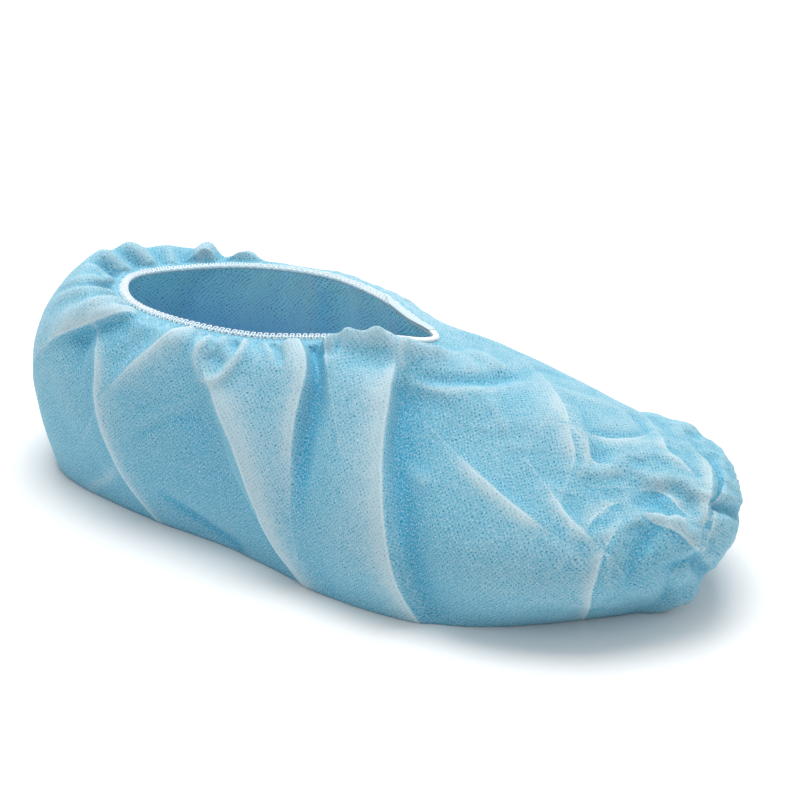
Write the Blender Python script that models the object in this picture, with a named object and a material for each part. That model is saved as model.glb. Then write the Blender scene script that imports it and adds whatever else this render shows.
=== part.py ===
# Disposable nonwoven shoe cover with an elasticated opening, standing as if worn.
# Metres, +Z up, toe toward +X. The origin is under the middle of the sole, on the floor.
# A place on the cloth is (turn, level). Turn runs once round the opening: 0 at the back of
# the heel, 0.25 on the near side (-Y), 0.5 at the toe. Level runs down the cloth: 0 where the
# band lets it go, 1 on the crown of the fold-over, 2 on the belly and 3 at the sole's edge.
import math

import bmesh
import bpy
import numpy as np

# Driving dimensions
COVER_LENGTH = 0.330
COVER_WIDTH = 0.146
OPENING_LENGTH = 0.151
OPENING_WIDTH = 0.064
OPENING_HEIGHT = 0.090
OPENING_CENTRE_X = -0.0475
SOLE_LENGTH = 0.302
SOLE_WIDTH = 0.136
SOLE_CENTRE_X = -0.0055
SOLE_RIM = 0.006
WALL = 0.0011

# Elastic band, folded over the cloth's edge
BAND_LEG = 0.0036
BAND_THICKNESS = 0.0007
BAND_CLEARANCE = 0.0003
COLLAR_MARGIN = 0.0012

# Where the band's two ends lie one on the other
LAP_WIDTH = 0.0044
LAP_THICKNESS = 0.0006
LAP_START_TURN = 0.532
LAP_END_TURN = 0.655

# Folds and gathers
FOLD_HEIGHT = 0.0050
FOLD_WIDTH = 0.0100
GATHER_HEIGHT = 0.0010
GATHER_LEVEL = 0.55
RELEASE_LEVEL = 0.25
HEM_SHARE = 0.35

# How fast the cloth runs through its stations, as shares of the way between them
CROWN_SLOPE = 0.5
BELLY_SLOPE = (0.36, 0.36, 0.60)
SOLE_SLOPE = (1.4, 1.4, 0.9)

# Finishes
CLOTH_COLOUR = (0.22, 0.52, 0.66)
BAND_COLOUR = (0.86, 0.90, 0.92)
TAPE_COLOUR = (0.90, 0.93, 0.94)
CLOTH_ROUGHNESS = 0.75
BAND_ROUGHNESS = 0.80

# Mesh
MERIDIANS = 132
CROWN_RINGS = 4
BELLY_RINGS = 5
FLOOR_RINGS = 3
FOLD_SAMPLES = 33
RIM_TURN_STEP = 1e-4
FOLD_TURN_STEP = 1e-3
LEAST_GAP = 1e-3

# Form stations. Lengths are shares: rim x and y of the opening's half length and half width, z
# of the opening's height; crown and belly x and y of the cover's half length and half width, z
# of the opening's height; sole x and y of the sole's half sizes. Dip is the angle in degrees at
# which the band lies, below level going outward, and fall how much more steeply the cloth goes
# down just beyond it.
STATION_COLUMNS = ("turn", "dip", "fall", "rim_x", "rim_y", "rim_z", "crown_x", "crown_y",
                   "crown_z", "belly_x", "belly_y", "belly_z", "sole_x", "sole_y")
STATIONS = (
    (0.00, -8, 0, -1.00, 0.00, 0.88, -0.86, 0.00, 0.95, -0.985, 0.00, 0.60, -1.00, 0.00),
    (0.08, -6, 0, -0.82, -0.64, 0.90, -0.76, -0.48, 0.93, -0.88, -0.58, 0.54, -0.88, -0.55),
    (0.17, 2, 0, -0.46, -0.93, 0.92, -0.49, -0.65, 0.91, -0.61, -0.81, 0.50, -0.59, -0.76),
    (0.26, 8, 0, 0.08, -0.99, 0.96, -0.22, -0.69, 0.89, -0.28, -0.90, 0.46, -0.22, -0.85),
    (0.34, 6, 0, 0.54, -0.60, 0.99, 0.06, -0.63, 0.84, 0.08, -0.98, 0.39, 0.18, -1.02),
    (0.41, 6, 0, 0.82, -0.31, 1.00, 0.31, -0.57, 0.78, 0.43, -0.98, 0.36, 0.50, -0.96),
    (0.46, 6, 0, 0.955, -0.19, 1.00, 0.60, -0.42, 0.71, 0.79, -0.72, 0.39, 0.76, -0.57),
    (0.50, 10, 4, 1.00, -0.055, 1.00, 0.80, 0.02, 0.71, 0.98, 0.00, 0.41, 0.955, 0.00),
    (0.54, 4, 10, 0.93, 0.075, 1.00, 0.67, 0.42, 0.68, 0.80, 0.72, 0.42, 0.76, 0.62),
    (0.59, -8, 24, 0.76, 0.28, 0.99, 0.33, 0.42, 0.61, 0.43, 0.90, 0.36, 0.50, 0.87),
    (0.66, -12, 36, 0.44, 0.75, 0.97, 0.06, 0.56, 0.68, 0.08, 0.92, 0.38, 0.16, 0.91),
    (0.74, -4, 28, 0.02, 1.04, 0.95, -0.22, 0.64, 0.80, -0.28, 0.86, 0.46, -0.22, 0.83),
    (0.83, -2, 22, -0.46, 0.98, 0.91, -0.50, 0.60, 0.83, -0.61, 0.77, 0.50, -0.57, 0.75),
    (0.92, -6, 0, -0.83, 0.57, 0.88, -0.77, 0.44, 0.88, -0.88, 0.55, 0.54, -0.88, 0.54),
)

# Folds: from one place on the cloth to another, bowed in turn at the middle. Height is a share
# of FOLD_HEIGHT, in for a valley, and the widths toward the heel and the toe of FOLD_WIDTH.
FOLD_COLUMNS = ("from_turn", "from_level", "to_turn", "to_level", "bow", "height", "heelward", "toeward")
FOLDS = (
    (0.133, 0.5, 0.095, 1.8, 0.014, 0.80, 0.6, 0.7),
    (0.160, 0.8, 0.133, 1.8, 0.000, -0.90, 0.6, 0.6),
    (0.128, 1.3, 0.220, 2.7, 0.011, 0.60, 0.6, 1.1),
    (0.007, 0.4, 0.062, 1.3, 0.006, 0.60, 0.6, 0.6),
    (0.035, 0.3, 0.080, 1.5, 0.008, -0.50, 0.5, 0.6),
    (0.075, 0.3, 0.080, 1.6, 0.020, 0.60, 0.6, 0.6),
    (0.960, 0.4, 0.975, 1.4, 0.006, 0.60, 0.8, 0.8),
    (0.985, 0.3, 0.010, 1.5, 0.000, -0.60, 0.6, 0.6),
    (0.195, 0.4, 0.173, 1.6, -0.007, 0.60, 0.6, 0.6),
    (0.225, 0.7, 0.245, 1.2, 0.000, 0.60, 0.6, 0.6),
    (0.228, 0.6, 0.323, 2.7, 0.012, 1.00, 0.5, 1.2),
    (0.240, 1.3, 0.310, 2.7, 0.008, -1.00, 0.7, 0.5),
    (0.260, 0.3, 0.270, 1.0, 0.000, -0.45, 0.4, 0.4),
    (0.288, 0.3, 0.292, 1.1, 0.000, -0.45, 0.4, 0.4),
    (0.304, 0.3, 0.322, 1.9, 0.000, 0.60, 0.5, 0.4),
    (0.316, 0.3, 0.334, 1.9, 0.000, -1.40, 0.6, 0.6),
    (0.358, 0.3, 0.354, 2.8, 0.004, 1.20, 1.7, 1.7),
    (0.402, 0.4, 0.393, 2.8, -0.012, 1.00, 1.2, 0.5),
    (0.416, 0.6, 0.406, 2.7, -0.010, -1.20, 0.6, 0.9),
    (0.345, 0.2, 0.400, 0.2, 0.000, 0.70, 0.6, 0.6),
    (0.420, 0.3, 0.500, 0.3, 0.000, 0.80, 1.0, 1.0),
    (0.405, 0.6, 0.503, 0.4, 0.000, -0.60, 0.5, 0.5),
    (0.448, 0.8, 0.436, 2.2, 0.000, 0.60, 2.6, 2.6),
    (0.528, 0.5, 0.473, 1.3, 0.004, 0.60, 0.8, 0.8),
    (0.445, 1.2, 0.455, 2.1, 0.000, 0.35, 0.8, 0.6),
    (0.475, 1.2, 0.468, 2.4, 0.000, -0.60, 0.6, 0.6),
    (0.530, 1.4, 0.490, 1.9, -0.008, -0.80, 0.6, 0.6),
    (0.487, 1.9, 0.482, 1.2, 0.000, 0.70, 0.6, 0.6),
    (0.500, 0.7, 0.487, 1.1, 0.000, -0.40, 0.6, 0.6),
    (0.556, 1.3, 0.535, 1.7, 0.000, 1.30, 1.8, 1.8),
    (0.482, 2.1, 0.484, 2.8, 0.000, -0.70, 0.6, 0.6),
    (0.515, 1.7, 0.508, 2.4, 0.000, 0.50, 0.7, 0.7),
    (0.233, 2.6, 0.278, 2.7, 0.000, -0.80, 0.6, 0.6),
    (0.572, 0.9, 0.580, 2.6, 0.010, -0.80, 0.8, 0.6),
    (0.608, 1.0, 0.604, 2.7, -0.008, 0.90, 0.8, 1.2),
    (0.640, 0.9, 0.655, 2.2, 0.000, -1.00, 0.7, 0.7),
    (0.678, 1.1, 0.690, 2.8, 0.006, 0.90, 1.4, 1.2),
    (0.716, 0.8, 0.700, 2.5, 0.000, -1.00, 0.7, 0.7),
    (0.752, 1.1, 0.742, 2.7, 0.000, 0.80, 0.8, 1.0),
    (0.790, 0.8, 0.770, 2.6, -0.008, -0.90, 0.7, 0.7),
    (0.830, 1.1, 0.842, 2.4, 0.000, 0.80, 1.0, 0.9),
    (0.870, 0.9, 0.888, 2.0, 0.006, -0.70, 0.8, 0.8),
    (0.885, 0.2, 0.885, 0.5, 0.000, 0.60, 0.7, 0.7),
    (0.860, 0.3, 0.858, 0.6, 0.000, 0.40, 0.6, 0.6),
    (0.915, 1.0, 0.928, 2.1, 0.000, 0.60, 0.9, 0.8),
)
# Gathers: waves in one turn, and the share of GATHER_HEIGHT and starting phase of each
GATHER_COLUMNS = ("waves", "share", "phase")
GATHERS = ((23, 0.9, 0.4), (34, 0.8, 2.1), (47, 0.6, 4.4))


def clear_scene():
    for item in list(bpy.data.objects):
        bpy.data.objects.remove(item, do_unlink=True)


def station_rows():
    # Turn, dip, fall and the rim, crown, belly and sole points of each station, in metres
    half_length = COVER_LENGTH / 2
    half_width = COVER_WIDTH / 2
    rows = []
    for station in STATIONS:
        place = dict(zip(STATION_COLUMNS, station))
        rim = (OPENING_CENTRE_X + place["rim_x"] * OPENING_LENGTH / 2,
               place["rim_y"] * OPENING_WIDTH / 2,
               place["rim_z"] * OPENING_HEIGHT)
        crown = (place["crown_x"] * half_length,
                 place["crown_y"] * half_width,
                 place["crown_z"] * OPENING_HEIGHT)
        belly = (place["belly_x"] * half_length,
                 place["belly_y"] * half_width,
                 place["belly_z"] * OPENING_HEIGHT)
        sole = (SOLE_CENTRE_X + place["sole_x"] * SOLE_LENGTH / 2,
                place["sole_y"] * SOLE_WIDTH / 2,
                0.0)
        rows.append((place["turn"], place["dip"], place["fall"], *rim, *crown, *belly, *sole))
    return np.array(rows)


def periodic_spline(turns, values, at):
    # A smooth closed curve through the station values
    count = len(turns)
    knots = np.concatenate((turns - 1.0, turns, turns + 1.0))
    points = np.concatenate((values, values, values))
    slopes = np.zeros_like(points)
    slopes[1:-1] = (points[2:] - points[:-2]) / (knots[2:] - knots[:-2])[:, None]
    at = np.mod(at, 1.0)
    left = np.clip(np.searchsorted(knots, at, side="right") - 1, count - 1, 2 * count)
    span = (knots[left + 1] - knots[left])[:, None]
    part = (at - knots[left])[:, None] / span
    return hermite(part, points[left], slopes[left] * span, points[left + 1], slopes[left + 1] * span)


def hermite(part, start, start_slope, end, end_slope):
    square = part * part
    cube = square * part
    return ((2 * cube - 3 * square + 1) * start + (cube - 2 * square + part) * start_slope
            + (3 * square - 2 * cube) * end + (cube - square) * end_slope)


def unit(vectors):
    return vectors / np.maximum(np.linalg.norm(vectors, axis=-1, keepdims=True), 1e-12)


class Form:
    # The smooth cover, before its folds

    def __init__(self):
        rows = station_rows()
        self.turns = rows[:, 0]
        self.values = rows[:, 1:]

    def loops(self, turns):
        values = periodic_spline(self.turns, self.values, turns)
        angles = np.radians(values[:, :2])
        return angles, values[:, 2:5], values[:, 5:8], values[:, 8:11], values[:, 11:14]

    def edge_frame(self, turns):
        # The rim's points, the way the cloth leaves them and the way its outer face looks
        angles, rim = self.loops(turns)[:2]
        dips = angles[:, :1]
        before = self.loops(turns - RIM_TURN_STEP)[1]
        after = self.loops(turns + RIM_TURN_STEP)[1]
        along = unit(after - before)
        flat_out = unit(np.stack((along[:, 1], -along[:, 0], np.zeros(len(turns))), axis=1))
        down = np.array((0.0, 0.0, -1.0))
        out = np.cos(dips) * flat_out + np.sin(dips) * down
        out = unit(out - np.sum(out * along, axis=1, keepdims=True) * along)
        face = np.cross(out, along)
        return rim, out, face

    def points(self, turns, levels):
        # Turn and level pairs, flat lists of the same length
        turns = np.asarray(turns, float)
        levels = np.asarray(levels, float)
        collar_length = BAND_LEG + BAND_CLEARANCE + COLLAR_MARGIN
        angles, rim, crown, belly, sole = self.loops(turns)
        rim, out, face = self.edge_frame(turns)
        collar = rim + out * collar_length
        reach = np.linalg.norm(crown - collar, axis=1, keepdims=True)
        falls = angles[:, 1:]
        to_crown = (np.cos(falls) * out - np.sin(falls) * face) * reach
        over_crown = CROWN_SLOPE * (belly - collar)
        down_belly = (sole - crown) * np.array(BELLY_SLOPE)
        under = (sole - belly) * np.array(SOLE_SLOPE)
        part = (levels - np.clip(np.floor(levels), 0, 2))[:, None]
        upper = hermite(part, collar, to_crown, crown, over_crown)
        middle = hermite(part, crown, over_crown, belly, down_belly)
        lower = hermite(part, belly, down_belly, sole, under)
        band = levels[:, None]
        return np.where(band < 1, upper, np.where(band < 2, middle, lower))


def fold_push(form, turns, levels, places):
    # How far the folds push each place out
    push = np.zeros(len(places))
    for row in FOLDS:
        fold = dict(zip(FOLD_COLUMNS, row))
        share = np.linspace(0.0, 1.0, FOLD_SAMPLES)
        turn_span = fold["to_turn"] - fold["from_turn"]
        turn_span = turn_span - round(turn_span)
        line_turns = fold["from_turn"] + share * turn_span + fold["bow"] * np.sin(math.pi * share)
        line_levels = fold["from_level"] + share * (fold["to_level"] - fold["from_level"])
        line = form.points(line_turns, line_levels)
        across = unit(form.points(line_turns + FOLD_TURN_STEP, line_levels) - line)
        offsets = places[:, None, :] - line[None, :, :]
        gaps = np.linalg.norm(offsets, axis=2)
        nearest = np.argmin(gaps, axis=1)
        each = np.arange(len(places))
        gap = gaps[each, nearest]
        lean = np.sum(offsets[each, nearest] * across[nearest], axis=1) / np.maximum(gap, LEAST_GAP)
        toward_toe = 0.5 + 0.5 * lean
        share_width = fold["heelward"] * (1 - toward_toe) + fold["toeward"] * toward_toe
        push += FOLD_HEIGHT * fold["height"] * np.exp(-((gap / (FOLD_WIDTH * share_width)) ** 2))
    return push


def gather_push(turns, levels):
    # Fine gathers just outside the band, merging into the crown
    wave = np.zeros(len(turns))
    for row in GATHERS:
        gather = dict(zip(GATHER_COLUMNS, row))
        wave += gather["share"] * np.cos(2 * math.pi * gather["waves"] * turns + gather["phase"])
    rise = np.clip(levels / GATHER_LEVEL, 0.0, 2.0)
    return GATHER_HEIGHT * wave * np.sin(math.pi * rise / 2) ** 2


def cloth_grid(form):
    # The cover's outer face, one ring for each level, from the rim to the sole's edge
    turns = np.arange(MERIDIANS) / MERIDIANS
    levels = [0.0]
    levels += [(step + 1) / CROWN_RINGS for step in range(CROWN_RINGS)]
    levels += [1 + (step + 1) / BELLY_RINGS for step in range(BELLY_RINGS)]
    levels += [2 + (step + 1) / FLOOR_RINGS for step in range(FLOOR_RINGS)]
    level_grid, turn_grid = np.meshgrid(levels, turns, indexing="ij")
    flat_turns = turn_grid.ravel()
    flat_levels = level_grid.ravel()
    places = form.points(flat_turns, flat_levels)
    shape = level_grid.shape + (3,)
    grid = places.reshape(shape)
    across = np.roll(grid, -1, axis=1) - np.roll(grid, 1, axis=1)
    downward = np.gradient(grid, axis=0)
    normals = unit(np.cross(downward, across)).reshape(-1, 3)
    release = np.clip(flat_levels / RELEASE_LEVEL, 0.0, 1.0)
    release = release * release * (3 - 2 * release)
    hem = 1 - (1 - HEM_SHARE) * np.clip(flat_levels - 2, 0.0, 1.0) ** 2
    push = fold_push(form, flat_turns, flat_levels, places) * release * hem
    push += gather_push(flat_turns, flat_levels)
    on_sole = flat_levels >= 3
    normals[on_sole, 2] = 0.0
    pushed = (places + normals * push[:, None]).reshape(shape)
    rim = form.edge_frame(turns)[0]
    return np.concatenate((rim[None], pushed))


def add_object(name, mesh_data, colour, roughness):
    mesh = bpy.data.meshes.new(name)
    mesh_data.to_mesh(mesh)
    mesh_data.free()
    mesh.shade_smooth()
    item = bpy.data.objects.new(name, mesh)
    bpy.context.scene.collection.objects.link(item)
    material = bpy.data.materials.new(name)
    material.use_nodes = True
    shader = material.node_tree.nodes["Principled BSDF"]
    shader.inputs["Base Color"].default_value = (*colour, 1.0)
    shader.inputs["Roughness"].default_value = roughness
    shader.inputs["Metallic"].default_value = 0.0
    mesh.materials.append(material)
    return item


def grid_faces(mesh_data, grid, closed):
    # Quads between neighbouring rows of points; closed joins the last column to the first
    rows = [[mesh_data.verts.new(point) for point in row] for row in grid]
    columns = len(rows[0])
    last = columns if closed else columns - 1
    for upper, lower in zip(rows, rows[1:]):
        for column in range(last):
            following = (column + 1) % columns
            mesh_data.faces.new((upper[column], lower[column], lower[following], upper[following]))
    return rows


def thicken(item, thickness, offset, even):
    solid = item.modifiers.new("Thickness", "SOLIDIFY")
    solid.thickness = thickness
    solid.offset = offset
    solid.use_even_offset = even
    solid.use_quality_normals = True
    solid.use_rim = True


def make_cover(form, shift):
    mesh_data = bmesh.new()
    grid = cloth_grid(form)
    edge = grid[-1]
    along = unit(np.roll(edge, -1, axis=0) - np.roll(edge, 1, axis=0))
    inward = np.stack((-along[:, 1], along[:, 0], np.zeros(len(edge))), axis=1)
    grid = np.concatenate((grid, (edge + SOLE_RIM * inward)[None]))
    rows = grid_faces(mesh_data, grid + shift, True)
    mesh_data.faces.new(list(reversed(rows[-1])))
    item = add_object("cover_body", mesh_data, CLOTH_COLOUR, CLOTH_ROUGHNESS)
    thicken(item, WALL, -1.0, False)


def band_profile():
    # Inner face of the folded band: pairs of way out from the edge and height above the outer
    # face, over the edge from the outer leg to the inner one
    gap = BAND_CLEARANCE
    return ((BAND_LEG, gap), (-gap / 2, gap), (-gap, gap / 2),
            (-gap, -WALL - gap / 2), (-gap / 2, -WALL - gap), (BAND_LEG, -WALL - gap))


def make_band(form, shift):
    turns = np.arange(MERIDIANS) / MERIDIANS
    rim, out, face = form.edge_frame(turns)
    rows = [rim + out * way + face * height + shift for way, height in reversed(band_profile())]
    mesh_data = bmesh.new()
    grid_faces(mesh_data, np.array(rows), True)
    item = add_object("elastic_band", mesh_data, BAND_COLOUR, BAND_ROUGHNESS)
    thicken(item, BAND_THICKNESS, 1.0, True)


def make_lap(form, shift):
    # A flat length of band on the outer leg, where its two ends overlap
    stations = int(round((LAP_END_TURN - LAP_START_TURN) * MERIDIANS))
    turns = np.linspace(LAP_START_TURN, LAP_END_TURN, stations + 1)
    rim, out, face = form.edge_frame(turns)
    height = 2 * BAND_CLEARANCE + BAND_THICKNESS
    inner = -BAND_CLEARANCE - BAND_THICKNESS
    rows = [rim + out * way + face * height + shift for way in (inner, inner + LAP_WIDTH)]
    mesh_data = bmesh.new()
    grid_faces(mesh_data, np.array(rows), False)
    item = add_object("band_lap", mesh_data, TAPE_COLOUR, BAND_ROUGHNESS)
    thicken(item, LAP_THICKNESS, 1.0, True)


def centre_shift(form):
    # Moves the cover so that its box stands on the origin
    points = cloth_grid(form).reshape(-1, 3)
    middle = (points.min(axis=0) + points.max(axis=0)) / 2
    return np.array((-middle[0], -middle[1], 0.0))


def main():
    clear_scene()
    form = Form()
    shift = centre_shift(form)
    make_cover(form, shift)
    make_band(form, shift)
    make_lap(form, shift)


main()
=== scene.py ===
import math

import bmesh
import bpy
import numpy as np
from mathutils import Matrix, Vector, noise


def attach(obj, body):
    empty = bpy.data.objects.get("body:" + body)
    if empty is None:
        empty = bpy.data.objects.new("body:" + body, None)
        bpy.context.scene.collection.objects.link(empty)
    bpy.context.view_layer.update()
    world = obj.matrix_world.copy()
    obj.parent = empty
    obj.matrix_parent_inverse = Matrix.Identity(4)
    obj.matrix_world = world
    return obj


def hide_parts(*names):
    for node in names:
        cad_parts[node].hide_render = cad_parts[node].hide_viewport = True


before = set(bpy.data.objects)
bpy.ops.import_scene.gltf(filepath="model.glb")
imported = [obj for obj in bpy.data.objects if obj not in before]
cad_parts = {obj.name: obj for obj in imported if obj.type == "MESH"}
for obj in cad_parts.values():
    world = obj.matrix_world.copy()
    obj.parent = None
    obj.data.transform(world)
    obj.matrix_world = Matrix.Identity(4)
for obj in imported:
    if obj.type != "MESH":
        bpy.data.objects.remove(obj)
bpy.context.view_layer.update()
scene = bpy.context.scene
print("frame loaded")

# Places on the cloth are (turn, level). Turn runs once round the opening: 0 behind the heel,
# 0.25 on the near side, 0.5 at the toe. Level is 0 where the band lets the cloth go, 1 on the
# crown of the fold-over, 2 on the belly and 3 at the edge of the sole.
form = {
    "coverLength": 0.330, "coverWidth": 0.146,
    "openingLength": 0.151, "openingWidth": 0.064, "openingHeight": 0.090,
    "openingCentreX": -0.0475,
    "soleLength": 0.302, "soleWidth": 0.136, "soleCentreX": -0.0055,
    "collar": 0.0051, "overCrown": 0.5, "downBelly": 0.6, "bellyPull": (0.6, 0.6, 1.0),
    "solePull": (1.4, 1.4, 0.9), "fineTurns": 2001, "slopeStep": 1e-4, "lineStep": 1e-3,
    "shift": (0.0005, 0.0043, 0.0),   # sets the cloth on the solid's own place
}
# turn, dip and fall in degrees, then shares of the sizes: rim x y z, crown x y z, belly x y z and
# sole x y
stations = (
    (0.00, -8, 0, -1.00, 0.00, 0.88, -0.86, 0.00, 0.95, -0.985, 0.00, 0.60, -1.00, 0.00),
    (0.08, -6, 0, -0.82, -0.64, 0.90, -0.76, -0.48, 0.93, -0.88, -0.58, 0.54, -0.88, -0.55),
    (0.17, 2, 0, -0.46, -0.93, 0.92, -0.49, -0.65, 0.91, -0.61, -0.81, 0.50, -0.59, -0.76),
    (0.26, 8, 0, 0.08, -0.99, 0.96, -0.22, -0.69, 0.89, -0.28, -0.90, 0.46, -0.22, -0.85),
    (0.34, 6, 0, 0.54, -0.60, 0.99, 0.06, -0.63, 0.84, 0.08, -0.98, 0.39, 0.18, -1.02),
    (0.41, 6, 0, 0.82, -0.31, 1.00, 0.31, -0.57, 0.78, 0.43, -0.98, 0.36, 0.50, -0.96),
    (0.46, 6, 0, 0.955, -0.19, 1.00, 0.60, -0.42, 0.71, 0.79, -0.72, 0.39, 0.76, -0.57),
    (0.50, 10, 4, 1.00, -0.055, 1.00, 0.80, 0.02, 0.71, 0.98, 0.00, 0.41, 0.955, 0.00),
    (0.54, 4, 10, 0.93, 0.075, 1.00, 0.67, 0.42, 0.68, 0.80, 0.72, 0.42, 0.76, 0.62),
    (0.59, -8, 24, 0.76, 0.28, 0.99, 0.33, 0.42, 0.61, 0.43, 0.90, 0.36, 0.50, 0.87),
    (0.66, -12, 36, 0.44, 0.75, 0.97, 0.06, 0.56, 0.68, 0.08, 0.92, 0.38, 0.16, 0.91),
    (0.74, -4, 28, 0.02, 1.04, 0.95, -0.22, 0.64, 0.80, -0.28, 0.86, 0.46, -0.22, 0.83),
    (0.83, -2, 22, -0.46, 0.98, 0.91, -0.50, 0.60, 0.83, -0.61, 0.77, 0.50, -0.57, 0.75),
    (0.92, -6, 0, -0.83, 0.57, 0.88, -0.77, 0.44, 0.88, -0.88, 0.55, 0.54, -0.88, 0.54),
)

cloth = {
    "meridians": 498, "dense": 0.30, "densestTurn": 0.32, "loopShares": (0.10, 0.35, 0.40, 0.15),
    "collarRings": 3, "crownRings": 36, "bellyRings": 30, "floorRings": 21, "soleRings": 5,
    "thickness": 0.00035, "release": (0.0, 0.14), "hemTight": 0.65,
    "foldHeight": 0.0040, "foldWidth": 0.0100, "creaseRadius": 0.0006, "lineSamples": 25,
    "lineReach": 3.2, "fade": (-0.15, 0.30), "fadeLevels": (0.3, 2.7),
    "toeTurn": 0.502, "toeWidth": 0.050, "toeStart": (0.75, 1.15), "toeEnd": (2.6, 3.0),
    "reliefForPaintedShade": 0.50, "reliefBase": 40, "toeShade": 0.07,
    "reliefScales": ((6, 0.00025, 0.30), (30, 0.0010, 0.40), (120, 0.0028, 0.30)),
    "paintedPleatScale": 0.60, "pleatFall": 1.6, "panelReach": 2.6, "panelNarrow": 0.6,
    "edgeFar": 20.0, "edgeFade": 3.0, "paintedTopLight": 0.06, "paintedLowShade": 0.14, "paintedShadeLevels": (0.5, 2.7),
    "uvSides": (0.8, 1.0, 0.9), "slitHalf": 0.30, "slitAlong": (0.98, 0.02), "slitAcross": 0.05,
    "flat": (0.40, 0.345), "flatArea": 0.132,
}
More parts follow.
